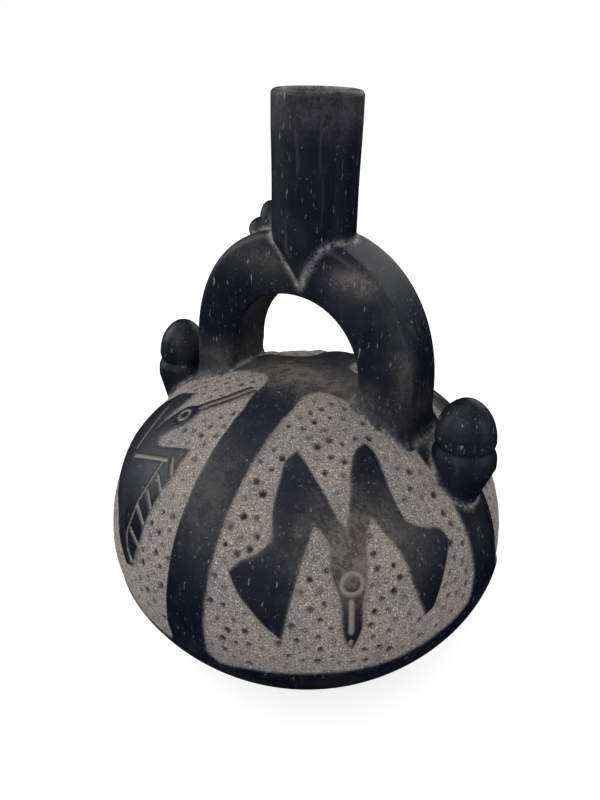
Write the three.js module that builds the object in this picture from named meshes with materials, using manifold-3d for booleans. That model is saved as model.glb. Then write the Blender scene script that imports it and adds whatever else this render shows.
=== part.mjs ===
// Stirrup spout vessel: a hollow, burnished blackware bottle in one fired piece.
// A squat round body carries a stirrup whose two hollow arms meet in one straight spout.
// Four smooth meridian bands part four sunken panels, and each panel leaves a figure standing.
// Millimetres, +Z up. The stirrup lies in the XZ plane and the origin is the centre of the base.

import * as THREE from 'three';
import { mergeVertices } from 'three/addons/utils/BufferGeometryUtils.js';
import Module from 'manifold-3d';

const wasm = await Module();
wasm.setup();

// ---------------------------------------------------------------- driving dimensions

// Body: a turned form, fuller above its widest ring than below it, standing on a flat base.
const body = {
  radius: 75.7, widest: 51.3, rise: 62.3, drop: 62.7,
  crownPower: 2.16, bellyPower: 1.69,
  slices: 46, rings: 16,
};
const wall = { side: 5, base: 6, slices: 24, rings: 9 };

// Panels: sunk below the bands, with their corners rounded. Rises are lengths up the side.
const carving = { depth: 1, reachIn: 0.35, reachOut: 2.2, step: 16 };
const bands = { frontTurn: 2.2, frontHalf: 7.6, sideHalf: 9.6, stripHalf: 9.8 };
const panel = {
  lowFront: -15, corner: 5.5, topNear: 8.1,
  lowEdge: [[18, -13.3], [32, -11.8], [46, -11.2], [57, -10], [66, -6.5], [75.4, -2], [80.8, 2]],
  frontRises: [0, 20, 40, 55, 68, 78], stripReaches: [24, 34], sideRises: [52, 40, 25, 10],
  footReach: 46, footHalf: 8.5,
};

// Stirrup: outer and inner outlines of the arch, its thickness and its rounded edges.
const arch = {
  outer: { centre: -0.7, lean: -1.1, half: 45.2, spring: 114, crown: 165, power: 2.2 },
  inner: { centre: -2, lean: 0, half: 26.2, spring: 117, crown: 143.3, power: 2.1 },
  innerFoot: { left: -31.5, right: 22.4 },
  footHeight: 97, footFlare: 2, flareHeight: 7, front: -10.2, back: 12.4, edge: 3.6,
  steps: 14, legSteps: 3,
};
const bore = { radius: 3.6, sides: 10, legBottom: 94 };

// Spout: a straight tube, sharpened below into a wedge that is let into the arch.
const spout = {
  radius: 14.2, rimRadius: 14.7, height: 208.4, lip: 1.6, flareFrom: 178, flareTo: 202,
  wedgeTip: 146.5, wedgeTop: 162, wedgeShift: 1.5, tipHalf: 0.8, tipDepth: 10,
  boreRadius: 10.9, boreFloor: 150, funnelTop: 164, clear: 5, sides: 24,
};

// Ear lugs: two grooved buds on the shoulders, outside the feet of the stirrup.
// The profile lists heights with the size there, as a share of the greatest half width.
const lug = {
  foot: { x: 55, z: 78 }, collar: { x: 61.5, z: 97 }, tip: { x: 60.8, z: 119.6 },
  wide: 10.2, deep: 9.8, rightGrowth: 1.06, sides: 16,
  profile: [
    [78, 0.97], [88, 0.99], [97, 1.02], [101, 0.98], [103, 0.88],
    [105, 0.95], [109, 0.92], [114, 0.75], [117.3, 0.5], [119.1, 0.25], [119.6, 0.04],
  ],
};

// The small worn animal that crouches on one shoulder of the stirrup, against the spout.
const animal = {
  around: 14, over: 9,
  back: { at: [-15.2, 1, 161.5], size: [5.8, 6, 11.5], lean: -0.4 },
  head: { at: [-22.2, 0.6, 161.6], size: [4.8, 5, 4.6], lean: 0 },
};

// ---------------------------------------------------------------- solids and meshes

// A closed three.js geometry as a solid that can be joined and cut.
function solid(geometry) {
  const bare = geometry.clone();
  bare.deleteAttribute('normal');
  bare.deleteAttribute('uv');
  const merged = mergeVertices(bare, 1e-4);
  const index = merged.index.array;
  const kept = [];
  for (let i = 0; i < index.length; i += 3) {
    const [a, b, c] = [index[i], index[i + 1], index[i + 2]];
    if (a !== b && b !== c && c !== a) kept.push(a, b, c);
  }
  return new wasm.Manifold(new wasm.Mesh({
    numProp: 3,
    vertProperties: Float32Array.from(merged.attributes.position.array),
    triVerts: Uint32Array.from(kept),
  }));
}

function geometryOf(manifold) {
  const mesh = manifold.getMesh();
  const geometry = new THREE.BufferGeometry();
  geometry.setAttribute('position', new THREE.BufferAttribute(mesh.vertProperties, 3));
  geometry.setIndex(new THREE.BufferAttribute(mesh.triVerts, 1));
  geometry.computeVertexNormals();
  return geometry;
}

// A closed skin over a row of rings that all have the same number of points.
function skin(rings) {
  const sides = rings[0].length;
  const middle = (ring) => ring.reduce((sum, p) => sum.add(p), new THREE.Vector3())
    .divideScalar(ring.length);
  const points = [...rings.flat(), middle(rings[0]), middle(rings.at(-1))];
  const [first, last] = [points.length - 2, points.length - 1];
  const end = (rings.length - 1) * sides;
  const index = [];
  for (let k = 0; k < sides; k++) {
    const next = (k + 1) % sides;
    for (let r = 0; r < rings.length - 1; r++) {
      const [a, b] = [r * sides + k, r * sides + next];
      index.push(a, b, b + sides, a, b + sides, a + sides);
    }
    index.push(first, next, k, last, end + k, end + next);
  }
  return new THREE.BufferGeometry().setFromPoints(points).setIndex(index);
}

// A turned form, from a profile of (radius, height) points that starts and ends on the axis.
function turned(profile, slices) {
  return solid(new THREE.LatheGeometry(profile, slices).rotateX(Math.PI / 2));
}

// ---------------------------------------------------------------- body of the vessel

// The side of the body from the edge of its flat base up to the crown.
class Meridian extends THREE.Curve {
  constructor(inset) {
    super();
    this.inset = inset;
    this.baseTurn = Math.asin((body.widest / body.drop) ** (body.bellyPower / 2));
    this.widestShare = this.baseTurn / (this.baseTurn + Math.PI / 2);
  }

  getPoint(t, target = new THREE.Vector2()) {
    const turn = THREE.MathUtils.lerp(-this.baseTurn, Math.PI / 2, t);
    const below = turn < 0;
    const power = 2 / (below ? body.bellyPower : body.crownPower);
    const reach = (below ? -body.drop : body.rise) * Math.abs(Math.sin(turn)) ** power;
    const radius = body.radius * Math.max(Math.cos(turn), 0) ** power;
    const shrink = 1 - this.inset / Math.hypot(radius, reach);
    return target.set(radius * shrink, body.widest + reach * shrink);
  }
}

const side = new Meridian(0);
const sideLength = side.getLength();
const widestLength = sideLength * lengthShare(side, side.widestShare);

// The share of a curve's length that lies before its parameter t.
function lengthShare(curve, t) {
  const samples = 400;
  const lengths = curve.getLengths(samples);
  return lengths[Math.round(t * samples)] / lengths[samples];
}

// Radius and height of the body, a given length up its side from the widest ring.
function onSide(up) {
  return side.getPointAt(THREE.MathUtils.clamp((widestLength + up) / sideLength, 0, 1));
}

// A point given by its turn in degrees from the front, -Y, towards +X, and its length up the side,
// pushed in or out along the ray from the middle of the body.
function onBody([turn, up], reach) {
  const { x: radius, y: height } = onSide(up);
  const angle = THREE.MathUtils.degToRad(turn);
  return new THREE.Vector3(
    radius * Math.sin(angle) * reach,
    -radius * Math.cos(angle) * reach,
    body.widest + (height - body.widest) * reach,
  );
}

function bodySolid(inset, rings, slices, floor) {
  const profile = new Meridian(inset).getSpacedPoints(rings);
  profile[rings].x = 0;
  if (floor !== undefined) profile[0].y = floor;
  return turned([new THREE.Vector2(0, profile[0].y), ...profile], slices);
}

// ---------------------------------------------------------------- sunken panels

// The turn that a sideways distance makes at a given length up the side.
const turnAt = (distance, up) => THREE.MathUtils.radToDeg(Math.asin(distance / onSide(up).x));

// The length up the side at which the body has a given radius, above its widest ring.
function upAtRadius(radius) {
  let [low, high] = [0, sideLength - widestLength];
  while (high - low > 1e-6) {
    const middle = (low + high) / 2;
    if (onSide(middle).x > radius) low = middle;
    else high = middle;
  }
  return low;
}

// Turn and length up the side of a point above the widest ring, from its place in plan.
const fromPlan = (x, y) => [
  THREE.MathUtils.radToDeg(Math.atan2(x, -y)),
  upAtRadius(Math.hypot(x, y)),
];

// Outline of the panel between the front band and the band towards +X.
// hand is -1 for its mirror image towards -X.
function panelOutline(hand) {
  const bandTurn = bands.frontTurn * hand;
  const frontEdge = (up) => [bandTurn + turnAt(bands.frontHalf, up), up];
  const sideEdge = (up) => [90 - turnAt(bands.sideHalf, up), up];
  const { corner, topNear } = panel;
  const outline = [
    [bandTurn + turnAt(bands.frontHalf + corner / 2, panel.lowFront), panel.lowFront],
    frontEdge(panel.lowFront + corner),
    ...panel.frontRises.map(frontEdge),
    fromPlan(topNear, -bands.stripHalf - corner * 1.4),
    fromPlan(topNear + corner * 0.4, -bands.stripHalf - corner * 0.4),
    fromPlan(topNear + corner * 1.4, -bands.stripHalf),
    ...panel.stripReaches.map((x) => fromPlan(x, -bands.stripHalf)),
    fromPlan(panel.footReach, -panel.footHalf),
    ...panel.sideRises.map(sideEdge),
    ...panel.lowEdge.toReversed(),
  ];
  return outline.map(([turn, up]) => [turn * hand, up]);
}

// ---------------------------------------------------------------- figures left standing

// The diving bird, in turns from its own middle line and lengths up the side.
// Each wing rises to a tip, steps out to a blade and returns by a notch to the long head.
const divingBird = {
  middle: 44.5,
  fork: [-0.3, 40],
  head: [[4.3, 28], [2.6, 17], [2.2, 8], [0.2, 0.5], [-1.4, 3.5], [-2.3, 10], [-2.8, 18], [-4.6, 26]],
  rightWing: {
    inner: [[1.8, 48], [4.6, 59]], tip: [[9, 65], [14.3, 67.5]], outer: [[16.3, 64], [16.2, 46]],
    shoulder: [[17.6, 38.8], [22.9, 35]], blade: [[28, 32.8], [30.1, 28]],
    foot: [[25.5, 17], [22, 8.5], [19.6, 6.5]], notch: [[17.5, 14], [14.4, 29.5], [7.6, 43], [4.6, 36]],
  },
  leftWing: {
    inner: [[-2.6, 43], [-6, 51]], tip: [[-12, 61], [-16.4, 66]], outer: [[-20.4, 62], [-21.8, 49]],
    shoulder: [[-20.9, 36.2], [-23.3, 32.6]], blade: [[-29, 27.8], [-30.9, 24.5]],
    foot: [[-27.9, 18.5], [-21.5, 9.8], [-16.8, 4.5]],
    notch: [[-15.5, 15], [-13.2, 28], [-9.6, 42], [-5.6, 37]],
  },
};

// The long-beaked bird with its wings spread, in turns from the front and lengths up the side.
const longBeak = {
  beak: [[-31.5, 87], [-33.5, 77.5], [-38.6, 67]],
  crown: [[-42, 64.5], [-43.4, 57], [-43.2, 50.5]],
  farWing: [[-47, 61], [-53, 67], [-61, 60], [-64, 48], [-60, 34], [-46, 26]],
  tail: [[-33.3, 19.5], [-28, 12.5], [-22, 7.2], [-18.2, 9.2]],
  nearWing: [[-17, 19], [-16.8, 31], [-15.7, 45], [-16.6, 55.3], [-24.4, 52]],
  throat: [[-33, 47.8], [-36.6, 50], [-33.6, 55.5], [-30.6, 61.5], [-32, 67.4]],
  beakUnder: [[-25.2, 78], [-21, 87]],
};

function divingBirdOutline() {
  const { fork, head, rightWing: right, leftWing: left } = divingBird;
  const wing = ({ inner, tip, outer, shoulder, blade, foot, notch }) => [
    ...inner, ...tip, ...outer, ...shoulder, ...blade, ...foot, ...notch,
  ];
  const outline = [fork, ...wing(right), ...head, ...wing(left).reverse()];
  return outline.map(([turn, up]) => [divingBird.middle + turn, up]);
}

const longBeakOutline = () => Object.values(longBeak).flat();

// A ring round the diving bird's eye, cut down to the floor of the panel.
const eye = { at: [44.6, 23.4], outer: 4.3, inner: 2.4, sides: 14 };

function circleOutline([turn, up], radius, sides) {
  const size = onSide(up).x;
  return Array.from({ length: sides }, (_, k) => {
    const angle = (k / sides) * 2 * Math.PI;
    const across = THREE.MathUtils.radToDeg((radius * Math.cos(angle)) / size);
    return [turn + across, up + radius * Math.sin(angle)];
  });
}

// Points added along an outline's long edges, so that they follow the round of the body.
function followBody(outline) {
  const points = [];
  outline.forEach((start, k) => {
    const finish = outline[(k + 1) % outline.length];
    const length = onBody(start, 1).distanceTo(onBody(finish, 1));
    const parts = Math.ceil(length / carving.step);
    for (let i = 0; i < parts; i++) {
      const share = i / parts;
      points.push(new THREE.Vector2(
        THREE.MathUtils.lerp(start[0], finish[0], share),
        THREE.MathUtils.lerp(start[1], finish[1], share),
      ));
    }
  });
  return points;
}

// The wedge of space, from inside the body to outside it, that an outline sweeps.
function raySolid(outline, turn) {
  const points = followBody(outline);
  if (THREE.ShapeUtils.isClockWise(points)) points.reverse();
  const faces = THREE.ShapeUtils.triangulateShape(points, []);
  const place = (reach) => points.map((p) => onBody([p.x + turn, p.y], reach));
  const count = points.length;
  const index = [];
  for (const [a, b, c] of faces) index.push(a, c, b, count + a, count + b, count + c);
  for (let k = 0; k < count; k++) {
    const next = (k + 1) % count;
    index.push(k, next, count + next, k, count + next, count + k);
  }
  const all = [...place(carving.reachIn), ...place(carving.reachOut)];
  return solid(new THREE.BufferGeometry().setFromPoints(all).setIndex(index));
}

function carvedBody() {
  const floor = bodySolid(carving.depth, body.rings, body.slices);
  let sunk;
  for (const half of [0, 180]) {
    const panels = raySolid(panelOutline(1), half)
      .subtract(raySolid(divingBirdOutline(), half))
      .add(raySolid(panelOutline(-1), half))
      .subtract(raySolid(longBeakOutline(), half));
    sunk = sunk ? sunk.add(panels) : panels;
  }
  const eyeRing = raySolid(circleOutline(eye.at, eye.outer, eye.sides), 0)
    .subtract(raySolid(circleOutline(eye.at, eye.inner, eye.sides), 0));
  return bodySolid(0, body.rings, body.slices).subtract(sunk.add(eyeRing).subtract(floor));
}

// ---------------------------------------------------------------- stirrup

// A point on one of the arch's outlines, from 0 at the left spring to 1 at the right.
function archPoint({ centre, lean, half, spring, crown, power }, share) {
  const turn = Math.PI * (1 - share);
  const [across, up] = [Math.cos(turn), Math.sin(turn)];
  return new THREE.Vector2(
    centre + lean * up + half * Math.sign(across) * Math.abs(across) ** (2 / power),
    spring + (crown - spring) * up ** (2 / power),
  );
}

// Outer and inner points of every section, from the left foot over the crown to the right foot.
function archSections() {
  const leg = (footX, hand, share) => {
    const outerEnd = archPoint(arch.outer, hand < 0 ? 0 : 1);
    const innerEnd = archPoint(arch.inner, hand < 0 ? 0 : 1);
    const outer = outerEnd.clone().setY(THREE.MathUtils.lerp(outerEnd.y, arch.footHeight, share));
    const inner = new THREE.Vector2(
      THREE.MathUtils.lerp(innerEnd.x, footX, share),
      THREE.MathUtils.lerp(innerEnd.y, arch.footHeight, share),
    );
    return { outer, inner };
  };
  const shares = Array.from({ length: arch.legSteps }, (_, k) => 1 - k / arch.legSteps);
  const middle = Array.from({ length: arch.steps + 1 }, (_, k) => ({
    outer: archPoint(arch.outer, k / arch.steps),
    inner: archPoint(arch.inner, k / arch.steps),
  }));
  return [
    ...shares.map((share) => leg(arch.innerFoot.left, -1, share)),
    ...middle,
    ...shares.reverse().map((share) => leg(arch.innerFoot.right, 1, share)),
  ];
}

// A rounded rectangle about the line from an inner to an outer point, across the thickness.
function archRing({ outer, inner }) {
  const middle = outer.clone().add(inner).multiplyScalar(0.5);
  const along = outer.clone().sub(inner).normalize();
  const low = Math.max(0, 1 - (middle.y - arch.footHeight) / (2 * arch.flareHeight));
  const flare = arch.footFlare * low * low;
  const halfWide = outer.distanceTo(inner) / 2 + flare;
  const halfThick = (arch.back - arch.front) / 2 + flare;
  const centre = (arch.back + arch.front) / 2;
  const ring = [];
  for (const [quarter, [u, v]] of [[1, 1], [-1, 1], [-1, -1], [1, -1]].entries()) {
    for (const part of [0, 1 / 3, 2 / 3, 1]) {
      const angle = (quarter + part) * (Math.PI / 2);
      const reach = u * (halfWide - arch.edge) + arch.edge * Math.cos(angle);
      const depth = v * (halfThick - arch.edge) + arch.edge * Math.sin(angle);
      ring.push(new THREE.Vector3(
        middle.x + along.x * reach, centre - depth, middle.y + along.y * reach,
      ));
    }
  }
  return ring;
}

// The channel inside one arm, from the hollow of the body up to the crown of the arch.
function channel() {
  const sections = archSections();
  const path = sections.map(({ outer, inner }) => inner.clone().lerp(outer, 0.5));
  path[0].y = bore.legBottom;
  path[path.length - 1].y = bore.legBottom;
  const rings = path.map((point, k) => {
    const ahead = path[Math.min(k + 1, path.length - 1)].clone()
      .sub(path[Math.max(k - 1, 0)]).normalize();
    const across = new THREE.Vector2(-ahead.y, ahead.x);
    return Array.from({ length: bore.sides }, (_, i) => {
      const angle = (i / bore.sides) * 2 * Math.PI;
      const reach = bore.radius * Math.cos(angle);
      return new THREE.Vector3(
        point.x + across.x * reach, -bore.radius * Math.sin(angle), point.y + across.y * reach,
      );
    });
  });
  return solid(skin(rings));
}

// ---------------------------------------------------------------- spout, lugs and animal

function spoutSolid() {
  const { radius, rimRadius, height, lip, wedgeTip, wedgeTop, sides } = spout;
  const wedge = [0, 0.25, 0.5, 0.75, 1].map((share) => ({
    z: THREE.MathUtils.lerp(wedgeTip, wedgeTop, share),
    wide: THREE.MathUtils.lerp(spout.tipHalf, radius, share),
    deep: THREE.MathUtils.lerp(spout.tipDepth, radius, share),
    x: spout.wedgeShift * (1 - share),
  }));
  const tube = [
    [radius, spout.flareFrom], [rimRadius, spout.flareTo], [rimRadius, height - lip],
    [rimRadius - lip * 0.3, height - lip * 0.3], [rimRadius - lip, height],
  ].map(([size, z]) => ({ z, wide: size, deep: size, x: 0 }));
  return solid(skin([...wedge, ...tube].map(({ z, wide, deep, x }) => (
    Array.from({ length: sides }, (_, k) => {
      const angle = (k / sides) * 2 * Math.PI;
      return new THREE.Vector3(x + wide * Math.cos(angle), deep * Math.sin(angle), z);
    })
  ))));
}

function spoutBore() {
  return turned([
    new THREE.Vector2(0, spout.boreFloor),
    new THREE.Vector2(bore.radius, spout.boreFloor),
    new THREE.Vector2(spout.boreRadius, spout.funnelTop),
    new THREE.Vector2(spout.boreRadius, spout.height + spout.clear),
    new THREE.Vector2(0, spout.height + spout.clear),
  ], spout.sides);
}

function lugSolid(hand) {
  const { foot, collar, tip } = lug;
  const growth = hand > 0 ? lug.rightGrowth : 1;
  const rings = lug.profile.map(([height, size]) => {
    const [low, high] = height < collar.z ? [foot, collar] : [collar, tip];
    const middle = THREE.MathUtils.mapLinear(height, low.z, high.z, low.x, high.x);
    return Array.from({ length: lug.sides }, (_, k) => {
      const angle = (k / lug.sides) * 2 * Math.PI;
      return new THREE.Vector3(
        hand * middle + growth * lug.wide * size * Math.cos(angle),
        growth * lug.deep * size * Math.sin(angle),
        height,
      );
    });
  });
  return solid(skin(rings));
}

function lump({ at, size, lean }) {
  const ball = new THREE.SphereGeometry(1, animal.around, animal.over).scale(...size).rotateY(lean);
  return solid(ball.translate(...at));
}

// ---------------------------------------------------------------- the vessel in one piece

function vesselSolid() {
  const hollow = bodySolid(wall.side, wall.rings, wall.slices, wall.base);
  return carvedBody()
    .add(solid(skin(archSections().map(archRing))))
    .add(spoutSolid())
    .add(lugSolid(1))
    .add(lugSolid(-1))
    .add(lump(animal.back))
    .add(lump(animal.head))
    .subtract(hollow)
    .subtract(channel())
    .subtract(spoutBore());
}

const blackware = new THREE.MeshStandardMaterial({ color: 0x24262b, roughness: 0.5, metalness: 0 });

const vessel = new THREE.Mesh(geometryOf(vesselSolid()), blackware);
vessel.name = 'vessel';

const object = new THREE.Group();
object.add(vessel);

export default object;
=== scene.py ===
import math

import bmesh
import bpy
import numpy as np
from mathutils import Matrix, Vector
from mathutils.geometry import delaunay_2d_cdt
from mathutils.kdtree import KDTree


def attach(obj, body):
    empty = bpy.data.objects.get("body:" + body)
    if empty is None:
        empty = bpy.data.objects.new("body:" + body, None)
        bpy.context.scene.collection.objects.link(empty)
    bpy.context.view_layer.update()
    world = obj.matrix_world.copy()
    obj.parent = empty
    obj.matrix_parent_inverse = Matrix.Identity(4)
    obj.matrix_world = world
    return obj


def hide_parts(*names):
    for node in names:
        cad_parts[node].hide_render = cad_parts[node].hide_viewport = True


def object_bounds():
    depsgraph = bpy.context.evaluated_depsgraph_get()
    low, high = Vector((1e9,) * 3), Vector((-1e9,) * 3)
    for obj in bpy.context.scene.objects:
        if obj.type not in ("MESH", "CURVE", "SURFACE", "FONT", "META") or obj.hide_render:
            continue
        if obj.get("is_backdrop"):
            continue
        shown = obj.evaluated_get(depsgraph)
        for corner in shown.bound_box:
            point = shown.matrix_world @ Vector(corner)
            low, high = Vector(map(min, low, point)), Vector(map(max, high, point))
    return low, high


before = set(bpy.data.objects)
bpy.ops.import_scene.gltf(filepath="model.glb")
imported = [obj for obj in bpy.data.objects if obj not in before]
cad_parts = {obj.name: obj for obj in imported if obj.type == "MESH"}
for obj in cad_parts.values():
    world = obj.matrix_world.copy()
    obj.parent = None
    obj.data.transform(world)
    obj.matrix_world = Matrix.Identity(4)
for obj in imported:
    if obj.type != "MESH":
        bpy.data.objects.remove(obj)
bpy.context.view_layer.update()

# ---------------------------------------------------------------- camera, table and light
# The vessel stands on a plain white table in a white room. The camera looks down on it from
# its right front, and four soft boxes and a dim ceiling light it without hard shadows.

camera_place = (0.13545, -0.21010, 0.22451)
camera_turn, camera_dip, camera_roll = (math.radians(a) for a in (32.81, 26.188, 1.563))
camera_lens, camera_shift = 33.931, -0.01178

ahead = Vector((
    -math.sin(camera_turn) * math.cos(camera_dip),
    math.cos(camera_turn) * math.cos(camera_dip),
    -math.sin(camera_dip),
))
level = Vector((math.cos(camera_turn), math.sin(camera_turn), 0))
upright = level.cross(ahead)
camera_right = level * math.cos(camera_roll) + upright * math.sin(camera_roll)
camera_up = upright * math.cos(camera_roll) - level * math.sin(camera_roll)

lens = bpy.data.cameras.new("camera")
lens.lens, lens.shift_x = camera_lens, camera_shift
lens.clip_start, lens.clip_end = 0.01, 50
camera = bpy.data.objects.new("camera", lens)
camera.matrix_world = Matrix.Translation(camera_place) @ Matrix(
    (camera_right, camera_up, -ahead)).transposed().to_4x4()
bpy.context.scene.collection.objects.link(camera)
bpy.context.scene.camera = camera


def add(tree, kind, inputs=None, **settings):
    """A node with its settings, its inputs filled by values or joined to other nodes."""
    made = tree.nodes.new(kind)
    for name, value in settings.items():
        setattr(made, name, value)
    for key, value in (inputs or {}).items():
        if isinstance(value, bpy.types.NodeSocket):
            tree.links.new(value, made.inputs[key])
        else:
            made.inputs[key].default_value = value
    return made


def plain_material(name, colour, roughness, glow):
    """A matt paint with faint clouds in its colour, and a little light of its own."""
    paint = bpy.data.materials.new(name)
    paint.use_nodes = True
    tree = paint.node_tree
    surface = tree.nodes["Principled BSDF"]
    place = add(tree, "ShaderNodeTexCoord").outputs["Object"]
    clouds = add(tree, "ShaderNodeTexNoise", {"Vector": place, "Scale": 9.0, "Detail": 3.0})
    tone = add(tree, "ShaderNodeMix", {
        0: clouds.outputs["Fac"], 6: (*[c * 0.985 for c in colour], 1), 7: (*colour, 1),
    }, data_type="RGBA")
    tree.links.new(tone.outputs[2], surface.inputs["Base Color"])
    surface.inputs["Roughness"].default_value = roughness
    surface.inputs["Specular IOR Level"].default_value = 0.1
    surface.inputs["Emission Color"].default_value = (1, 1, 1, 1)
    surface.inputs["Emission Strength"].default_value = glow
    return paint


table_size = 12.0
table = bpy.data.meshes.new("table")
half = table_size / 2
table.from_pydata([(-half, -half, 0), (half, -half, 0), (half, half, 0), (-half, half, 0)],
                  [], [(0, 1, 2, 3)])
table.materials.append(plain_material("white_table", (0.36, 0.36, 0.36), 0.9, 0.7))
floor = bpy.data.objects.new("table", table)
bpy.context.scene.collection.objects.link(floor)
floor.visible_glossy = False
floor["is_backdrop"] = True

room = bpy.data.worlds.new("white_room")
room.use_nodes = True
room.node_tree.nodes["Background"].inputs["Color"].default_value = (1, 1, 1, 1)
room.node_tree.nodes["Background"].inputs["Strength"].default_value = 1.0
room.cycles_visibility.glossy = False
bpy.context.scene.world = room
bpy.context.scene.view_settings.view_transform = "Standard"
bpy.context.scene.view_settings.look = "None"

# name: (place, width, height, watts), each facing the middle of the vessel
soft_boxes = {
    "front_box": ((-0.1, -1.1, 0.8), 0.8, 0.6, 7),
    "left_box": ((-0.95, -0.25, 0.55), 0.5, 0.8, 6),
    "right_box": ((0.95, 0.1, 0.5), 0.35, 0.7, 2.5),
    "back_box": ((0.1, 0.95, 0.6), 0.8, 0.5, 3),
    "ceiling": ((-0.1, -0.1, 1.1), 0.8, 0.8, 2.5),
}
for name, (place, wide, high, watts) in soft_boxes.items():
    lamp = bpy.data.lights.new(name, "AREA")
    lamp.shape, lamp.size, lamp.size_y, lamp.energy = "RECTANGLE", wide, high, watts
    box = bpy.data.objects.new(name, lamp)
    box.location = place
    facing = Vector((0, 0, 0.09)) - Vector(place)
    box.rotation_mode = "QUATERNION"
    box.rotation_quaternion = facing.to_track_quat("-Z", "Y")
    bpy.context.scene.collection.objects.link(box)

# ---------------------------------------------------------------- body
# The body is a squat round jar of fired clay, fuller above its widest ring than below it,
# on a flat base. Sizes are in millimetres. A place on it is a turn in degrees from the
# front towards the right, and a length up the side from the widest ring.

MM = 0.001
body_radius, widest_ring = 75.45, 51.3
crown_rise, belly_drop = 62.3, 62.7
crown_power, belly_power = 2.16, 1.69

base_turn = math.asin((widest_ring / belly_drop) ** (belly_power / 2))
side_steps = np.linspace(-base_turn, math.pi / 2, 4001)
side_power = np.where(side_steps < 0, 2 / belly_power, 2 / crown_power)
side_radius = body_radius * np.clip(np.cos(side_steps), 0, 1) ** side_power
side_height = widest_ring + np.where(side_steps < 0, -belly_drop, crown_rise) * (
    np.abs(np.sin(side_steps)) ** side_power)
side_steps_long = np.hypot(np.diff(side_radius), np.diff(side_height))
side_up = np.concatenate([[0], np.cumsum(side_steps_long)])
side_up -= np.interp(0, side_steps, side_up)
lowest_up, crown_up = side_up[0], side_up[-1]

# The flat map of the side keeps angles: it grows outwards from the crown as the body does.
map_start = 0.3
middle_radius = np.maximum((side_radius[1:] + side_radius[:-1]) / 2, map_start)
map_growth = np.concatenate([[0], np.cumsum((side_steps_long / middle_radius)[::-1])])[::-1]
map_radius = map_start * np.exp(map_growth)


def radius_at(up):
    return np.interp(up, side_up, side_radius)


def on_map(turn, up):
    """Flat map point of a place on the side."""
    angle, reach = np.radians(turn), np.interp(up, side_up, map_radius)
    return np.stack([reach * np.sin(angle), -reach * np.cos(angle)], -1)


def off_map(point):
    """Turn and length up the side of a flat map point."""
    reach = np.hypot(point[..., 0], point[..., 1])
    return (np.degrees(np.arctan2(point[..., 0], -point[..., 1])),
            np.interp(-reach, -map_radius, side_up))


def on_body(turn, up, sunk=0.0):
    """Point of the side, sunk along the line to the middle of the body."""
    angle, radius = np.radians(turn), radius_at(up)
    out = np.stack([radius * np.sin(angle), -radius * np.cos(angle),
                    np.interp(up, side_up, side_height) - widest_ring], -1)
    out *= (1 - sunk / np.linalg.norm(out, axis=-1))[..., None]
    out[..., 2] += widest_ring
    return out


def above_body(points):
    """How far points stand out from the side of the body, about square to it."""
    out = points - np.array([0, 0, widest_ring])
    low = out[:, 2] < 0
    power = np.where(low, belly_power, crown_power)
    reach = np.where(low, belly_drop, crown_rise)
    share = ((np.hypot(out[:, 0], out[:, 1]) / body_radius) ** power
             + (np.abs(out[:, 2]) / reach) ** power) ** (1 / power)
    return np.linalg.norm(out, axis=1) * (1 - 1 / np.maximum(share, 1e-6))


# ---------------------------------------------------------------- panels and their figures
# Four smooth bands run down the side and part four sunken panels. Each panel was cut back
# while the clay was leather hard and leaves a flat figure standing at the old surface: a
# diving bird seen from above, or a long-beaked bird with its wings spread.

front_turn, front_half, side_half, strip_half = 2.2, 7.6, 9.6, 9.8
low_front, panel_corner, panel_top = -15, 5.5, 8.1
low_edge = [(18, -13.3), (32, -11.8), (46, -11.2), (57, -10), (66, -6.5), (75.4, -2), (80.8, 2)]
front_rises, strip_reaches, side_rises = (0, 20, 40, 55, 68, 78), (24, 34), (52, 40, 25, 10)
foot_reach, foot_half = 46, 8.5
diving_middle = 44.5

diving_head = [(4.3, 28), (2.6, 17), (2.2, 8), (0.2, 0.5), (-1.4, 3.5), (-2.3, 10), (-2.8, 18),
               (-4.6, 26)]
diving_right = [(1.8, 48), (4.6, 59), (9, 65), (14.3, 67.5), (16.3, 64), (16.2, 46), (17.6, 38.8),
                (22.9, 35), (28, 32.8), (30.1, 28), (25.5, 17), (22, 8.5), (19.6, 6.5), (17.5, 14),
                (14.4, 29.5), (7.6, 43), (4.6, 36)]
diving_left = [(-2.6, 43), (-6, 51), (-12, 61), (-16.4, 66), (-20.4, 62), (-21.8, 49),
               (-20.9, 36.2), (-23.3, 32.6), (-29, 27.8), (-30.9, 24.5), (-27.9, 18.5),
               (-21.5, 9.8), (-16.8, 4.5), (-15.5, 15), (-13.2, 28), (-9.6, 42), (-5.6, 37)]
diving_bird = [(diving_middle + turn, up) for turn, up in
               [(-0.3, 40), *diving_right, *diving_head, *diving_left[::-1]]]

long_beak = [(-31.5, 87), (-33.5, 77.5), (-38.6, 67), (-42, 64.5), (-43.4, 57), (-43.2, 50.5),
             (-47, 61), (-53, 67), (-61, 60), (-64, 48), (-60, 34), (-46, 26),
             (-33.3, 19.5), (-28, 12.5), (-22, 7.2), (-18.2, 9.2),
             (-17, 19), (-16.8, 31), (-15.7, 45), (-16.6, 55.3), (-24.4, 52),
             (-33, 47.8), (-36.6, 50), (-33.6, 55.5), (-30.6, 61.5), (-32, 67.4),
             (-25.2, 78), (-21, 87)]


def turn_at(distance, up):
    """The turn that a sideways distance makes at a height up the side."""
    return math.degrees(math.asin(distance / float(radius_at(up))))


def from_plan(x, y):
    """The place on the crown over a point of the ground plan."""
    crown = side_up >= 0
    up = np.interp(-math.hypot(x, y), -side_radius[crown], side_up[crown])
    return math.degrees(math.atan2(x, -y)), float(up)


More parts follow.
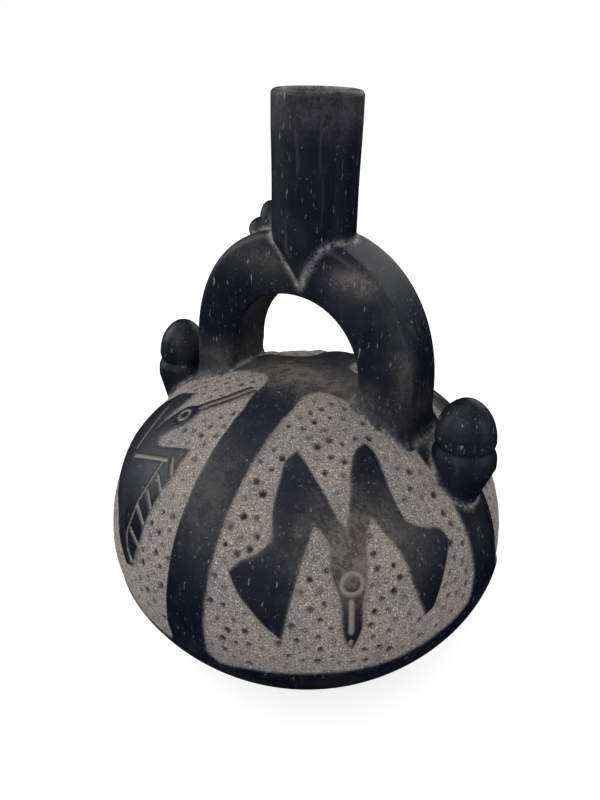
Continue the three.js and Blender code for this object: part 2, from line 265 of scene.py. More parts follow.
def panel_outline(hand):
    """The panel right of the front band, or left of it where hand is -1."""
    def front_edge(up):
        return front_turn * hand + turn_at(front_half, up), up

    def side_edge(up):
        return 90 - turn_at(side_half, up), up

    outline = [
        (front_turn * hand + turn_at(front_half + panel_corner / 2, low_front), low_front),
        front_edge(low_front + panel_corner),
        *[front_edge(up) for up in front_rises],
        from_plan(panel_top, -strip_half - panel_corner * 1.4),
        from_plan(panel_top + panel_corner * 0.4, -strip_half - panel_corner * 0.4),
        from_plan(panel_top + panel_corner * 1.4, -strip_half),
        *[from_plan(x, -strip_half) for x in strip_reaches],
        from_plan(foot_reach, -foot_half),
        *[side_edge(up) for up in side_rises],
        *low_edge[::-1],
    ]
    return [(turn * hand, up) for turn, up in outline]


def smooth_loop(places, sharpest, step, longest=9):
    """A closed line through the places, rounded but for its sharp corners, in even steps."""
    filled = []
    for place, following in zip(places, [*places[1:], places[0]]):
        ends = on_body(*np.array([place, following], float).T)
        parts = math.ceil(np.linalg.norm(ends[1] - ends[0]) / longest)
        filled += [np.array(place) + (np.array(following) - place) * k / parts
                   for k in range(parts)]
    points = on_map(*np.array(filled, float).T)
    following, before = np.roll(points, -1, 0), np.roll(points, 1, 0)
    chord, chord_before = following - points, points - before
    length = np.linalg.norm(chord, axis=1, keepdims=True)
    length_before = np.linalg.norm(chord_before, axis=1, keepdims=True)
    tangent = chord / length + chord_before / length_before
    tangent /= np.maximum(np.linalg.norm(tangent, axis=1, keepdims=True), 1e-9)
    cosine = np.sum(chord * chord_before, 1) / (length * length_before)[:, 0]
    sharp = cosine < math.cos(math.radians(sharpest))
    leave = np.where(sharp[:, None], chord / length, tangent)
    arrive = np.roll(np.where(sharp[:, None], chord_before / length_before, tangent), -1, 0)
    share = np.linspace(0, 1, 25)[:-1][None, :, None]
    s2, s3 = share ** 2, share ** 3
    line = ((2 * s3 - 3 * s2 + 1) * points[:, None] + (3 * s2 - 2 * s3) * following[:, None]
            + (s3 - 2 * s2 + share) * (leave * length)[:, None]
            + (s3 - s2) * (arrive * length)[:, None]).reshape(-1, 2)
    return even_steps(np.vstack([line, line[:1]]), step)[:-1]


def even_steps(line, step):
    """A map line again, in even steps as measured on the body."""
    laid = on_body(*off_map(line))
    along = np.concatenate([[0], np.cumsum(np.linalg.norm(np.diff(laid, axis=0), axis=1))])
    wanted = np.linspace(0, along[-1], max(2, round(along[-1] / step)) + 1)
    return np.stack([np.interp(wanted, along, line[:, k]) for k in (0, 1)], -1)


def half_turn(points):
    """The same map points on the other side of the body."""
    return -points


def inside(points, loop):
    """Which map points lie inside a closed loop."""
    x, y = points[:, 0], points[:, 1]
    found = np.zeros(len(points), bool)
    low, high = loop.min(0), loop.max(0)
    near = np.all((points >= low) & (points <= high), axis=1)
    x, y = x[near], y[near]
    hits = np.zeros(len(x), bool)
    for (ax, ay), (bx, by) in zip(loop, np.roll(loop, -1, 0)):
        if ay != by:
            crosses = (ay > y) != (by > y)
            hits ^= crosses & (x < (bx - ax) * (y - ay) / (by - ay) + ax)
    found[near] = hits
    return found


outline_step = 0.85
sharp_turn, panel_sharp_turn = 42, 60
front_panels = [smooth_loop(panel_outline(hand), panel_sharp_turn, outline_step) for hand in (1, -1)]
front_figures = [smooth_loop(diving_bird, sharp_turn, outline_step),
                 smooth_loop(long_beak, sharp_turn, outline_step)]
panels = front_panels + [half_turn(loop) for loop in front_panels]
figures = front_figures + [half_turn(loop) for loop in front_figures]

# Lines cut into the standing figures: the beak, eye rings, wing ribs and feather cuts.
# Each is (points, half width, depth).
feather_cuts = [[(-20.7, 49.7), (-16.6, 45.2)], [(-21.9, 42), (-16.5, 38.7)],
                [(-21.9, 35.6), (-17.3, 32.2)], [(-22.9, 29.1), (-17.5, 25.9)],
                [(-22.3, 20.7), (-17, 18)], [(-21.9, 13.3), (-18.7, 10.6)]]
wing_rib = [(-23.5, 46.9), (-22.9, 38.5), (-23.6, 29.6), (-23.4, 23.8), (-23.9, 18), (-21.8, 13.8),
            (-19.4, 9.7)]
beak_groove = [(-25.7, 87.5), (-28.9, 77.9), (-34.5, 67.5)]
far_wing_cut = [(-54, 55), (-49, 50.5), (-45.5, 44.5), (-43.3, 39.5)]
wing_slot = [(-40.8, 37.6), (-31, 43.5), (-22.6, 47.4)]
chin_slot = [(diving_middle - 0.3, 17.8), (diving_middle - 0.3, 7.3)]
chin_tick = [(diving_middle - 0.3, 3.8), (diving_middle - 0.4, 2.8)]


def ring_line(turn, up, radius):
    angle = np.linspace(0, 2 * math.pi, 33)
    across = np.degrees(radius * np.cos(angle) / float(radius_at(up)))
    return np.stack([turn + across, up + radius * np.sin(angle)], -1).tolist()


cuts = [*[(line, 0.62, 0.75) for line in feather_cuts], (wing_rib, 0.35, 0.5),
        (beak_groove, 0.7, 0.8), (far_wing_cut, 0.4, 0.5), (wing_slot, 0.8, 0.8),
        (chin_slot, 0.95, 0.8), (chin_tick, 0.7, 0.7),
        (ring_line(diving_middle + 0.1, 23.4, 3.35), 0.75, 0.9),
        (ring_line(-37.2, 61.4, 2.3), 0.45, 0.5)]


def finder(points):
    """A quick search for the nearest of some points."""
    tree = KDTree(len(points))
    for k, point in enumerate(points):
        tree.insert(point, k)
    tree.balance()
    return tree


def nearest(tree, points):
    """Distance from each point to the nearest point in the tree."""
    return np.array([tree.find(point)[2] for point in points])


edge_lines = np.vstack([*panels, *figures])
edge_finder = finder(on_body(*off_map(edge_lines)))
cut_finders, cut_step = [], 0.25
for line, cut_half, cut_depth in cuts:
    path = even_steps(on_map(*np.array(line, float).T), cut_step)
    both = np.vstack([path, half_turn(path)])
    cut_finders.append((finder(on_body(*off_map(both))), cut_half, cut_depth))


def on_floor(points):
    """Which map points lie on the sunken ground."""
    sunk = np.zeros(len(points), bool)
    for panel_loop, figure_loop in zip(panels, figures):
        sunk |= inside(points, panel_loop) & ~inside(points, figure_loop)
    return sunk


def lattice(step):
    """Places in staggered rings all over the side, a step apart."""
    ups = np.arange(lowest_up + step, crown_up - step, step * math.sqrt(3) / 2)
    rows = []
    for k, up in enumerate(ups):
        count = max(6, 2 * round(math.pi * float(radius_at(up)) / step))
        turn = (np.arange(count) + (k % 2) / 2) * 360 / count
        rows.append(on_map(turn, np.full(count, up)))
    return np.vstack(rows)


def gaps(points):
    """Distance of map points from the nearest outline and from the nearest cut."""
    places = on_body(*off_map(points))
    to_cut = [nearest(tree, places) - cut_half for tree, cut_half, _ in cut_finders]
    return nearest(edge_finder, places), np.min(to_cut, axis=0)


# Fine points fill the ground and line every edge and cut, and coarse ones fill the rest.
fine_step, fine_gap, fine_by_cut, fine_by_edge = 0.62, 0.42, 1.0, 1.3
coarse_step, coarse_gap, coarse_cut_gap = 2.3, 2.0, 1.8
fine = lattice(fine_step)
fine_edge, fine_cut = gaps(fine)
fine_kept = (fine_edge > fine_gap) & (
    on_floor(fine) | (fine_cut < fine_by_cut) | (fine_edge < fine_by_edge))
coarse = lattice(coarse_step)
coarse_edge, coarse_cut = gaps(coarse)
coarse_kept = ~on_floor(coarse) & (coarse_edge > coarse_gap) & (coarse_cut > coarse_cut_gap)

foot_count = 220
foot_turn = np.arange(foot_count) * 360 / foot_count
foot_ring = on_map(foot_turn, np.full(foot_count, lowest_up))
loops = [*panels, *figures, foot_ring]
map_points = np.vstack([*loops, fine[fine_kept], coarse[coarse_kept]])
map_edges, first = [], 0
for loop in loops:
    count = len(loop)
    map_edges += [(first + k, first + (k + 1) % count) for k in range(count)]
    first += count
laid_out = delaunay_2d_cdt([Vector(p) for p in map_points], map_edges, [], 0, 1e-6, False)
flat = np.array([tuple(p) for p in laid_out[0]])
triangles = [tuple(face) for face in laid_out[2]]

turn, up = off_map(flat)
laid = on_body(turn, up)
edge_distance = nearest(edge_finder, laid)
floor_side = on_floor(flat) & (edge_distance > 0.05)


def ease(value, start, end):
    """0 before start, 1 after end, and a smooth step between them."""
    share = np.clip((value - start) / (end - start), 0, 1)
    return share * share * (3 - 2 * share)


panel_depth, shoulder, wall_run = 1.0, 0.22, 0.75
sunk = np.where(floor_side,
                shoulder + (panel_depth - shoulder) * ease(edge_distance, 0, wall_run),
                shoulder * np.exp(-edge_distance / 0.5))
ground = np.where(floor_side, ease(edge_distance, 0.05, 0.6), 0)
cut_mark = np.zeros(len(laid))
for tree, cut_half, cut_depth in cut_finders:
    share = 1 - ease(nearest(tree, laid), cut_half * 0.45, cut_half * 1.25)
    sunk = np.where(floor_side, sunk, np.maximum(sunk, cut_depth * share))
    cut_mark = np.maximum(cut_mark, np.where(floor_side, 0, share))
laid = on_body(turn, up, sunk)


def make_mesh(name, points, faces, **marks):
    """A mesh object from millimetre points, with a number kept at each point for each mark."""
    mesh = bpy.data.meshes.new(name)
    mesh.from_pydata((np.asarray(points) * MM).tolist(), [], faces)
    for mark, values in marks.items():
        kept = mesh.attributes.new(mark, "FLOAT", "POINT")
        kept.data.foreach_set("value", np.asarray(values, np.float32))
    mesh.validate()
    made = bpy.data.objects.new(name, mesh)
    bpy.context.scene.collection.objects.link(made)
    return made


rim = [k for k in range(len(laid)) if up[k] < lowest_up + 1e-3]
rim.sort(key=lambda k: turn[k])
middle = len(laid)
laid = np.vstack([laid, [[0, 0, 0]]])
triangles += [(rim[(k + 1) % len(rim)], rim[k], middle) for k in range(len(rim))]
ground, cut_mark = np.append(ground, 0), np.append(cut_mark, 0)
far_off = 3.0
edge = np.append(np.minimum(edge_distance, far_off), far_off)
jar = make_mesh("body", laid, triangles, ground=ground, cut=cut_mark, edge=edge)
bm = bmesh.new()
bm.from_mesh(jar.data)
bmesh.ops.recalc_face_normals(bm, faces=bm.faces)
bm.to_mesh(jar.data)
bm.free()
for face in jar.data.polygons:
    face.use_smooth = True

# ---------------------------------------------------------------- fired clay finish
# Two finishes of one blackware clay: rubbed with a stone until it shines on the bands and
# figures, and left rough and sandy on the ground of the panels.

blackware = bpy.data.materials.new("burnished_blackware")
blackware.use_nodes = True
clay = blackware.node_tree
skin = clay.nodes["Principled BSDF"]


def marked(name):
    return add(clay, "ShaderNodeAttribute", attribute_name=name).outputs["Fac"]


def mixed(share, low, high):
    low, high = ((*c, 1) if isinstance(c, tuple) and len(c) == 3 else c for c in (low, high))
    return add(clay, "ShaderNodeMix", {0: share, 6: low, 7: high}, data_type="RGBA").outputs[2]


def sum_of(kind, *values):
    return add(clay, "ShaderNodeMath", dict(enumerate(values)), operation=kind).outputs[0]


def between(value, start, end, low=0.0, high=1.0):
    return add(clay, "ShaderNodeMapRange", {
        "Value": value, "From Min": start, "From Max": end, "To Min": low, "To Max": high,
    }, interpolation_type="SMOOTHSTEP").outputs[0]


def clouds(scale, detail=4.0, rough=0.55, place=None, stretch=None):
    place = place or spot
    if stretch:
        place = add(clay, "ShaderNodeMapping", {"Vector": place, "Scale": stretch}).outputs[0]
    return add(clay, "ShaderNodeTexNoise", {
        "Vector": place, "Scale": scale, "Detail": detail, "Roughness": rough}).outputs["Fac"]


spot = add(clay, "ShaderNodeTexCoord").outputs["Object"]
ground_mark, pit_shade_mark, cut_here = marked("ground"), marked("pit_shade"), marked("cut")

worn = clouds(38, 6, 0.6)
streaks = clouds(300, 4, 0.65, stretch=(1, 1, 0.08))
black = mixed(between(worn, 0.38, 0.75), (0.0020, 0.0034, 0.0085), (0.0095, 0.0108, 0.0145))
black = mixed(between(streaks, 0.56, 0.80, 0, 0.6), black, (0.045, 0.045, 0.046))
flecks = clouds(1000, 2, 0.5, stretch=(1, 1, 0.22))
black = mixed(between(flecks, 0.66, 0.76, 0, 0.6), black, (0.17, 0.17, 0.165))
specks = clouds(1400, 2, 0.5)
black = mixed(between(specks, 0.71, 0.77, 0, 0.5), black, (0.24, 0.235, 0.22))

# Pale dust lies along the joints, in patches, and at the worn edges of the carving. Some of
# the pale patches are painted light instead: a painted highlight along the ridge of the right
# arm of the stirrup, and a painted reflection of the floor round the foot.
film = clouds(160, 6, 0.7)
powder = clouds(900, 3, 0.7)
broken = between(sum_of("ADD", sum_of("MULTIPLY", film, 0.6), sum_of("MULTIPLY", powder, 0.4)),
                 0.38, 0.62)
# Pale dust, and in places a painted highlight and a painted floor reflection, laid over the black.
black = mixed(sum_of("MULTIPLY", marked("dust_and_painted_light"), between(broken, 0, 1, 0.35, 1)), black,
              (0.125, 0.112, 0.098))
black = mixed(sum_of("MULTIPLY", marked("seam"), sum_of("MULTIPLY", broken, 0.8)), black,
              (0.20, 0.195, 0.185))
edge_wear = between(marked("edge"), 0.9, 0.0)
black = mixed(sum_of("MULTIPLY", edge_wear, sum_of("MULTIPLY", broken, 0.5)), black,
              (0.11, 0.105, 0.10))

grain = clouds(2100, 3, 0.75)
patches = clouds(70, 4, 0.6)
sand = mixed(between(patches, 0.35, 0.7), (0.142, 0.136, 0.134), (0.190, 0.162, 0.140))
sand = mixed(between(clouds(120, 3, 0.6), 0.50, 0.75, 0, 0.75), sand, (0.115, 0.112, 0.112))
sand = mixed(between(grain, 0.46, 0.62, 0, 0.9), sand, (0.036, 0.034, 0.034))
sand = mixed(between(clouds(1700, 2, 0.6), 0.56, 0.68, 0, 0.75), sand, (0.40, 0.375, 0.35))
sand = mixed(between(marked("edge"), 0.7, 0.0, 0, 0.35), sand, (0.34, 0.32, 0.30))
# Painted shade: each punched pit is painted near black, darkest where it is deepest.
sand = mixed(pit_shade_mark, sand, (0.014, 0.014, 0.016))
shade = mixed(ground_mark, black, sand)
shade = mixed(sum_of("MULTIPLY", cut_here, 0.75), shade, (0.20, 0.18, 0.16))
clay.links.new(shade, skin.inputs["Base Color"])
gloss = between(ground_mark, 0.2, 0.9, 0.0, 0.4)
matt = sum_of("MULTIPLY", marked("dust_and_painted_light"), 0.3)
clay.links.new(sum_of("ADD", sum_of("ADD", gloss, matt), between(worn, 0.3, 0.8, 0.40, 0.54)),
               skin.inputs["Roughness"])
skin.inputs["Specular IOR Level"].default_value = 0.2

height = sum_of("ADD", sum_of("MULTIPLY", sum_of("MULTIPLY", grain, ground_mark), 0.8),
                sum_of("MULTIPLY", streaks, 0.14))
height = sum_of("ADD", height, sum_of("MULTIPLY", sum_of("MULTIPLY", powder, marked("seam")), 0.8))
bump = add(clay, "ShaderNodeBump", {"Height": height, "Strength": 0.7, "Distance": 0.0004})
clay.links.new(bump.outputs[0], skin.inputs["Normal"])

# ---------------------------------------------------------------- punched dots
# The ground of every panel is covered with round dots, each pushed into the clay with the
# blunt end of a reed, so that a low lip of clay stands round it. The hollow of each dot is
# painted near black as painted shade.

dots = bpy.data.node_groups.new("punched_dots", "GeometryNodeTree")
dots.interface.new_socket("Geometry", in_out="INPUT", socket_type="NodeSocketGeometry")
dots.interface.new_socket("Geometry", in_out="OUTPUT", socket_type="NodeSocketGeometry")
dot_sizes = {"Spacing": 4.3 * MM, "Radius": 1.35 * MM, "Depth": 0.85 * MM, "Lip": 0.12 * MM,
             "Seed": 11}
dot_inputs = {}
for name, value in dot_sizes.items():
    kind = "NodeSocketInt" if name == "Seed" else "NodeSocketFloat"
    dot_inputs[name] = dots.interface.new_socket(name, in_out="INPUT", socket_type=kind)
dot_inputs["Material"] = dots.interface.new_socket(
    "Material", in_out="INPUT", socket_type="NodeSocketMaterial")
given = dots.nodes.new("NodeGroupInput").outputs
here = add(dots, "GeometryNodeInputPosition").outputs[0]
open_ground = add(dots, "GeometryNodeInputNamedAttribute", {"Name": "room"}).outputs[0]
scattered = add(dots, "GeometryNodeDistributePointsOnFaces", {
    "Mesh": given["Geometry"], "Distance Min": given["Spacing"], "Density Max": 900000.0,
    "Density Factor": open_ground, "Seed": given["Seed"],
}, distribute_method="POISSON").outputs["Points"]
closest = add(dots, "GeometryNodeSampleNearest",
              {"Geometry": scattered, "Sample Position": here}).outputs[0]
centre = add(dots, "GeometryNodeSampleIndex", {
    "Geometry": scattered, "Value": here, "Index": closest}, data_type="FLOAT_VECTOR").outputs[0]
size = add(dots, "FunctionNodeRandomValue", {
    2: 0.72, 3: 1.15, "ID": closest, "Seed": given["Seed"]}, data_type="FLOAT").outputs[1]
press = add(dots, "FunctionNodeRandomValue", {
    2: 0.25, 3: 1.1, "ID": closest, "Seed": 5}, data_type="FLOAT").outputs[1]


def dot_math(kind, *values):
    return add(dots, "ShaderNodeMath", dict(enumerate(values)), operation=kind).outputs[0]


rough_edge = add(dots, "ShaderNodeTexNoise", {"Scale": 900.0, "Detail": 2.0}).outputs["Fac"]
away = add(dots, "ShaderNodeVectorMath", {0: here, 1: centre}, operation="DISTANCE").outputs[1]
away = dot_math("DIVIDE", away, dot_math("MULTIPLY", given["Radius"], size))
away = dot_math("ADD", away, dot_math("MULTIPLY", dot_math("SUBTRACT", rough_edge, 0.5), 0.5))
pit = add(dots, "ShaderNodeMapRange", {
    "Value": away, "From Min": 0.45, "From Max": 1.05, "To Min": 1.0, "To Max": 0.0,
}, interpolation_type="SMOOTHSTEP").outputs[0]
lip_share = dot_math("MULTIPLY", dot_math("SUBTRACT", away, 1.25), 4.0)
lip_height = dot_math("DIVIDE", given["Lip"], dot_math(
    "ADD", 1.0, dot_math("MULTIPLY", lip_share, lip_share)))
drop = dot_math("SUBTRACT", lip_height, dot_math(
    "MULTIPLY", dot_math("MULTIPLY", pit, press), given["Depth"]))
on_ground = add(dots, "GeometryNodeInputNamedAttribute", {"Name": "ground"}).outputs[0]
push = add(dots, "ShaderNodeVectorMath", {
    0: add(dots, "GeometryNodeInputNormal").outputs[0],
    "Scale": dot_math("MULTIPLY", drop, on_ground)}, operation="SCALE").outputs[0]
# The depth share of each pit is kept as a mark, which the finish paints dark as painted shade.
kept_pit_shade = add(dots, "GeometryNodeStoreNamedAttribute", {
    "Geometry": given["Geometry"], "Name": "pit_shade", "Value": dot_math(
        "MULTIPLY", dot_math("MULTIPLY", pit, dot_math("MINIMUM", press, 1.0)), on_ground),
}, data_type="FLOAT", domain="POINT").outputs[0]
pressed = add(dots, "GeometryNodeSetPosition", {"Geometry": kept_pit_shade, "Offset": push}).outputs[0]
pressed = add(dots, "GeometryNodeRealizeInstances", {"Geometry": pressed}).outputs[0]
pressed = add(dots, "GeometryNodeSetMaterial", {
    "Geometry": pressed, "Material": given["Material"]}).outputs[0]
dots.links.new(pressed, dots.nodes.new("NodeGroupOutput").inputs[0])

dot_margin = 1.7
room_left = jar.data.attributes.new("room", "FLOAT", "POINT")
room_left.data.foreach_set("value", np.append(
    np.where(floor_side & (edge_distance > dot_margin), 1.0, 0.0), 0).astype(np.float32))


def numbered(piece, number):
    """The piece with its number kept on every face, and its points far from any carving."""
    if "edge" not in piece.data.attributes:
        far = piece.data.attributes.new("edge", "FLOAT", "POINT")
        far.data.foreach_set("value", np.full(len(piece.data.vertices), far_off, np.float32))
    kept = piece.data.attributes.new("part", "INT", "FACE")
    kept.data.foreach_set("value", np.full(len(piece.data.polygons), number, np.int32))
    return piece


def settled(piece):
    """The piece with its modifiers made real, in place of the piece."""
    view_layer = bpy.context.evaluated_depsgraph_get()
    mesh = bpy.data.meshes.new_from_object(piece.evaluated_get(view_layer))
    piece.modifiers.clear()
    piece.data = mesh
    return piece


punch = jar.modifiers.new("punched dots", "NODES")
punch.node_group = dots
for name, value in dot_sizes.items():
    punch[dot_inputs[name].identifier] = value
punch[dot_inputs["Material"].identifier] = blackware
settled(jar)

# ---------------------------------------------------------------- stirrup
# Two hollow arms of clay, nearly square in section with rounded edges, rise from the crown
# and bend together into one arch. Wet clay was smoothed into the joint at each foot.

outer_arch = {"centre": -0.7, "lean": -1.1, "half": 45.2, "spring": 114, "crown": 165, "power": 2.2}
inner_arch = {"centre": -2, "lean": 0, "half": 26.2, "spring": 117, "crown": 143.3, "power": 2.1}
inner_foot = {"left": -31.5, "right": 22.4}
foot_height, foot_flare, flare_height = 97, 2, 7
arch_front, arch_back, arch_edge = -10.2, 12.4, 3.6
arch_steps, leg_steps = 84, 14
joint_reach, joint_fall, joint_top = 1.9, 1.7, 116


def arch_point(sizes, share):
    turned = math.pi * (1 - share)
    across, rise = math.cos(turned), math.sin(turned)
    return np.array([
        sizes["centre"] + sizes["lean"] * rise + sizes["half"] * math.copysign(
            abs(across) ** (2 / sizes["power"]), across),
        sizes["spring"] + (sizes["crown"] - sizes["spring"]) * rise ** (2 / sizes["power"]),
    ])


def leg(side, share):
    end = 0 if side == "left" else 1
    outer, inner = arch_point(outer_arch, end), arch_point(inner_arch, end)
    outer[1] += (foot_height - outer[1]) * share
    inner += (np.array([inner_foot[side], foot_height]) - inner) * share
    return outer, inner


shares = [1 - k / leg_steps for k in range(leg_steps)]
sections = ([leg("left", share) for share in shares]
            + [(arch_point(outer_arch, k / arch_steps), arch_point(inner_arch, k / arch_steps))
               for k in range(arch_steps + 1)]
            + [leg("right", share) for share in shares[::-1]])


def arch_ring(outer, inner, edge_points=8, face_points=5):
    middle, along = (outer + inner) / 2, (outer - inner) / np.linalg.norm(outer - inner)
    low = max(0, 1 - (middle[1] - foot_height) / (2 * flare_height))
    half_wide = np.linalg.norm(outer - inner) / 2 + foot_flare * low * low
    half_thick = (arch_back - arch_front) / 2 + foot_flare * low * low
    corners = []
    for quarter, (u, v) in enumerate([(1, 1), (-1, 1), (-1, -1), (1, -1)]):
        for part in np.linspace(0, 1, edge_points):
            angle = (quarter + part) * math.pi / 2
            corners.append((u * (half_wide - arch_edge) + arch_edge * math.cos(angle),
                            v * (half_thick - arch_edge) + arch_edge * math.sin(angle)))
    ring = []
    for k, corner in enumerate(corners):
        ring.append(corner)
        if k % edge_points == edge_points - 1:
            following = corners[(k + 1) % len(corners)]
            for part in np.linspace(0, 1, face_points + 2)[1:-1]:
                ring.append(tuple(a + (b - a) * part for a, b in zip(corner, following)))
    centre = (arch_back + arch_front) / 2
    return np.array([(middle[0] + along[0] * reach, centre - depth, middle[1] + along[1] * reach)
                     for reach, depth in ring])


def skin_over(rings):
    """Points and faces of a closed skin over a row of rings."""
    count, rows = len(rings[0]), len(rings)
    points = np.vstack([*rings, [np.mean(rings[0], 0)], [np.mean(rings[-1], 0)]])
    faces = [(r * count + k, r * count + (k + 1) % count, (r + 1) * count + (k + 1) % count,
              (r + 1) * count + k) for r in range(rows - 1) for k in range(count)]
    first, last, end = rows * count, rows * count + 1, (rows - 1) * count
    faces += [(first, (k + 1) % count, k) for k in range(count)]
    faces += [(last, end + k, end + (k + 1) % count) for k in range(count)]
    return points, faces


def turned_out(piece):
    """Faces pointing outwards, and shaded smooth."""
    bm = bmesh.new()
    bm.from_mesh(piece.data)
    bmesh.ops.remove_doubles(bm, verts=bm.verts, dist=1e-6)
    bmesh.ops.recalc_face_normals(bm, faces=bm.faces)
    if bm.calc_volume(signed=True) < 0:
        bmesh.ops.reverse_faces(bm, faces=bm.faces)
    bm.to_mesh(piece.data)
    bm.free()
    for face in piece.data.polygons:
        face.use_smooth = True
    return piece


arch_rings = [arch_ring(outer, inner) for outer, inner in sections]
for ring in arch_rings:
    centre_line = ring.mean(0)
    spread = joint_reach * np.exp(-np.maximum(above_body(ring), 0) / joint_fall)
    out = ring - centre_line
    out[:, 2] = 0
    if centre_line[2] < joint_top:
        ring += out / np.maximum(np.linalg.norm(out, axis=1, keepdims=True), 1e-6) * spread[:, None]
points, faces = skin_over(arch_rings)
stirrup = turned_out(make_mesh("stirrup", points, faces))

# ---------------------------------------------------------------- spout
# A straight tube of clay with a soft lip. Below, it is cut to a wedge and let into the arch,
# so that its seam shows as a wide V on the front.

spout_radius, rim_radius, spout_top, lip_round = 14.2, 14.6, 208.3, 1.7
flare_from, flare_to = 178, 202
wedge_tip, wedge_top, wedge_shift, tip_half, tip_deep = 146.5, 162, 1.5, 0.8, 10
spout_sides = 96


def round_ring(x, y, z, wide, deep, sides):
    angle = np.arange(sides) / sides * 2 * math.pi
    return np.stack([x + wide * np.cos(angle), y + deep * np.sin(angle), np.full(sides, z)], -1)


spout_rings = [
    round_ring(wedge_shift * (1 - part), 0, wedge_tip + (wedge_top - wedge_tip) * part,
               tip_half + (spout_radius - tip_half) * part,
               tip_deep + (spout_radius - tip_deep) * part, spout_sides)
    for part in np.linspace(0, 1, 16)]
for height in np.linspace(wedge_top + 1.5, spout_top - lip_round, 28):
    size = spout_radius + (rim_radius - spout_radius) * float(ease(height, flare_from, flare_to))
    spout_rings.append(round_ring(0, 0, height, size, size, spout_sides))
for part in np.linspace(0, 1, 8)[1:]:
    angle = part * math.pi / 2
    size = rim_radius - lip_round * (1 - math.cos(angle))
    spout_rings.append(round_ring(0, 0, spout_top - lip_round * (1 - math.sin(angle)),
                                  size, size, spout_sides))
points, faces = skin_over(spout_rings)
spout = turned_out(make_mesh("spout", points, faces))

# ---------------------------------------------------------------- ear lugs
# Two buds of clay stand on the shoulders outside the feet of the stirrup. A groove parts
# the rounded tip of each from its neck.

lug_foot, lug_collar, lug_tip = (55, 78), (61.5, 97), (60.8, 119.6)
lug_wide, lug_deep, right_growth, lug_sides = 10.2, 9.8, 1.06, 56
lug_profile = np.array([(78, 0.97), (88, 0.99), (97, 1.02), (100.5, 1.0), (102.2, 0.93),
                        (103.4, 0.87), (104.6, 0.93), (106, 0.95), (109, 0.92), (112, 0.84),
                        (114, 0.75), (116, 0.62), (117.6, 0.47), (118.7, 0.32), (119.3, 0.18),
                        (119.6, 0.03)])


def lug_piece(hand):
    rings = []
    heights = np.unique(np.concatenate([np.linspace(78, 98, 16), np.linspace(98, 108, 26),
                                        np.linspace(108, 119.6, 22), lug_profile[-4:, 0]]))
    for height in heights:
        low, high = (lug_foot, lug_collar) if height < lug_collar[1] else (lug_collar, lug_tip)
        middle = low[0] + (height - low[1]) / (high[1] - low[1]) * (high[0] - low[0])
        size = np.interp(height, *lug_profile.T) * (right_growth if hand > 0 else 1)
        rings.append(round_ring(hand * middle, 0, height, lug_wide * size, lug_deep * size,
                                lug_sides))
    points, faces = skin_over(rings)
    return turned_out(make_mesh("lug", points, faces))


lugs = [lug_piece(1), lug_piece(-1)]

# ---------------------------------------------------------------- crouching animal
# A small animal, worn almost smooth, crouches on the left shoulder of the stirrup with its
# back against the spout.

# (middle, half sizes, lean): its back, then its head
animal_parts = [((-15.2, 1, 161.3), (5.6, 5.8, 11.2), -0.4),
                ((-21.9, 0.6, 161.4), (4.6, 4.8, 4.4), 0)]


def rounded(place, size, lean):
    ball = bmesh.new()
    bmesh.ops.create_icosphere(ball, subdivisions=4, radius=1)
    ball.transform(Matrix.Translation(Vector(place) * MM) @ Matrix.Rotation(lean, 4, "Y")
                   @ Matrix.Diagonal((*[s * MM for s in size], 1)))
    mesh = bpy.data.meshes.new("animal")
    ball.to_mesh(mesh)
    ball.free()
    made = bpy.data.objects.new("animal", mesh)
    bpy.context.scene.collection.objects.link(made)
    return turned_out(made)


animal = [rounded(*part) for part in animal_parts]

# ---------------------------------------------------------------- one fired piece
# The parts were joined wet and smoothed over, the inside is hollow, and each arm of the
# stirrup opens into the spout.

wall_side, wall_base = 5, 6
channel_radius, channel_low = 3.6, 94
bore_radius, bore_floor, funnel_top, bore_clear = 10.9, 150, 164, 5

inside_rows = np.linspace(lowest_up, crown_up, 40)
hollow_side = on_body(np.zeros(40), inside_rows, wall_side)
hollow_rings = [round_ring(0, 0, max(z, wall_base), abs(y), abs(y), 64)
                for x, y, z in hollow_side[:-1]]
points, faces = skin_over(hollow_rings)
hollow = turned_out(make_mesh("hollow", points, faces))

path = [(outer + inner) / 2 for outer, inner in sections]
path[0][1] = path[-1][1] = channel_low
channel_rings = []
for k, (x, z) in enumerate(path):
    ahead_step = path[min(k + 1, len(path) - 1)] - path[max(k - 1, 0)]
    ahead_step /= np.linalg.norm(ahead_step)
    angle = np.arange(20) / 20 * 2 * math.pi
    reach = channel_radius * np.cos(angle)
    channel_rings.append(np.stack([x - ahead_step[1] * reach, -channel_radius * np.sin(angle),
                                   z + ahead_step[0] * reach], -1))
points, faces = skin_over(channel_rings)
channel = turned_out(make_mesh("channel", points, faces))

bore_rings = [round_ring(0, 0, z, r, r, 64) for z, r in [
    (bore_floor, channel_radius), (funnel_top, bore_radius), (spout_top - 2.2, bore_radius),
    (spout_top - 1.0, bore_radius + 0.25), (spout_top - 0.4, bore_radius + 0.7),
    (spout_top, bore_radius + 1.5), (spout_top + bore_clear, bore_radius + 4)]]
points, faces = skin_over(bore_rings)
spout_bore = turned_out(make_mesh("spout_bore", points, faces))

numbered(jar, 0)
for number, group in enumerate([[stirrup], [spout], lugs, animal], 1):
    for other in group:
        numbered(other, number)
for other, work in [(stirrup, "UNION"), (spout, "UNION"), *[(lug, "UNION") for lug in lugs],
                    *[(part, "UNION") for part in animal], (hollow, "DIFFERENCE"),
                    (channel, "DIFFERENCE"), (spout_bore, "DIFFERENCE")]:
    join = jar.modifiers.new("join", "BOOLEAN")
    join.operation, join.solver, join.object = work, "MANIFOLD", other
    settled(jar)
    bpy.data.objects.remove(other)

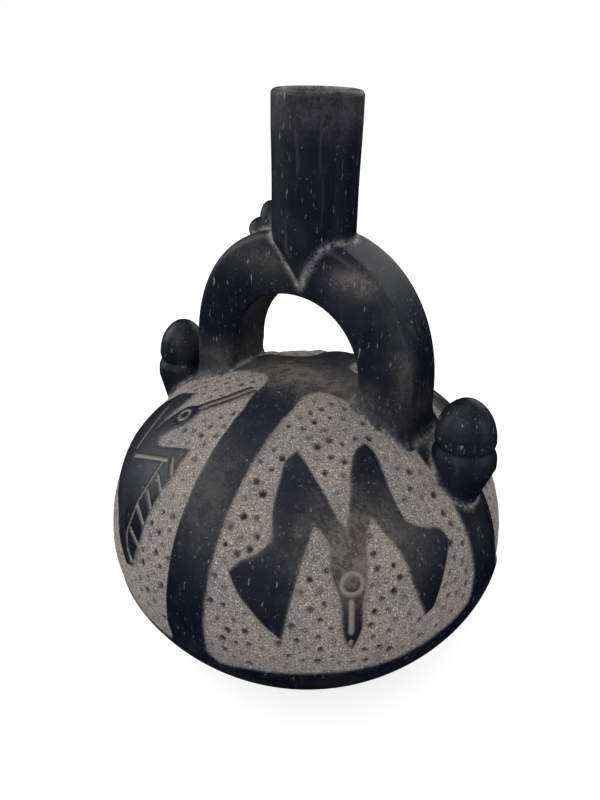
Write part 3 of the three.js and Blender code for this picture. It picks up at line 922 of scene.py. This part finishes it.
vessel = jar
vessel.name = "fired_vessel"
vessel.data.materials.clear()
vessel.data.materials.append(blackware)
bm = bmesh.new()
bm.from_mesh(vessel.data)
bmesh.ops.remove_doubles(bm, verts=bm.verts, dist=2e-6)
bmesh.ops.triangulate(bm, faces=bm.faces)

# Along every joint the skin is cut finer, and smoothed as a wet thumb would have left it.
part_kept = bm.faces.layers.int["part"]
seam_reach, seam_step, joint_step = 4.0 * MM, 0.9 * MM, 0.4 * MM
smoothing_reach, cutting_rounds, smoothing_rounds = 1.3 * MM, 3, 5


def joint_points():
    """Places all along the joints between the parts."""
    places = []
    for edge in bm.edges:
        if len({face[part_kept] for face in edge.link_faces}) > 1:
            start, end = edge.verts[0].co, edge.verts[1].co
            parts = math.ceil((end - start).length / joint_step)
            places += [tuple(start.lerp(end, k / parts)) for k in range(parts + 1)]
    return finder(np.array(places))


joints = joint_points()
for _ in range(cutting_rounds):
    near = [edge for edge in bm.edges if edge.calc_length() > seam_step
            and joints.find((edge.verts[0].co + edge.verts[1].co) / 2)[2] < seam_reach]
    bmesh.ops.subdivide_edges(bm, edges=near, cuts=1)
    bmesh.ops.triangulate(bm, faces=bm.faces)
for _ in range(smoothing_rounds):
    near = [vert for vert in bm.verts if joints.find(vert.co)[2] < smoothing_reach]
    bmesh.ops.smooth_vert(bm, verts=near, factor=0.5, use_axis_x=True, use_axis_y=True,
                          use_axis_z=True)
bm.to_mesh(vessel.data)
bm.free()
for face in vessel.data.polygons:
    face.use_smooth = True

# Pale dust has gathered along the joints, and lies in patches where the vessel was handled
# least. Two patches on the front of the right arm are a painted highlight along its ridge, the
# wide low one round the foot is a painted reflection of the floor, and the one over the diving
# bird on the right only makes its upper part paler. Each is (middle, reach along x, y and z,
# strength), in millimetres.
# Painted highlight: the first two patches lighten the front of the right arm along its ridge.
dust_and_painted_light_patches = [((23, -11, 153), (9, 6, 4), 0.6), ((42, -11, 128), (5, 6, 16), 0.25),
                ((0, -4, 113), (36, 13, 6), 0.75), ((0, -52, 88), (14, 16, 14), 0.30),
                ((-14, 0, 155), (11, 9, 5), 0.8), ((0, 0, 203), (17, 17, 8), 0.35),
                # The first patch here pales the upper part of the diving bird; the last, round the
                # foot, is painted reflection of the floor.
                ((48, -46, 82), (17, 17, 14), 0.75), ((0, -2, 4), (70, 70, 8), 0.2)]
places = np.empty(len(vessel.data.vertices) * 3, np.float32)
vessel.data.vertices.foreach_get("co", places)
places = places.reshape(-1, 3).astype(float)
seam_fall = 1.3
seam = np.exp(-(nearest(joints, places) / MM / seam_fall) ** 2)
dust_and_painted_light = np.zeros(len(places))
for middle, reach, strength in dust_and_painted_light_patches:
    off = (places / MM - np.array(middle)) / np.array(reach)
    dust_and_painted_light = np.maximum(dust_and_painted_light, strength * np.exp(-np.sum(off * off, 1)))
for mark, values in (("seam", seam), ("dust_and_painted_light", dust_and_painted_light)):
    kept = vessel.data.attributes.new(mark, "FLOAT", "POINT")
    kept.data.foreach_set("value", values.astype(np.float32))
vessel.data.attributes.remove(vessel.data.attributes["part"])

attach(vessel, "root")
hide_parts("vessel")

low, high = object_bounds()
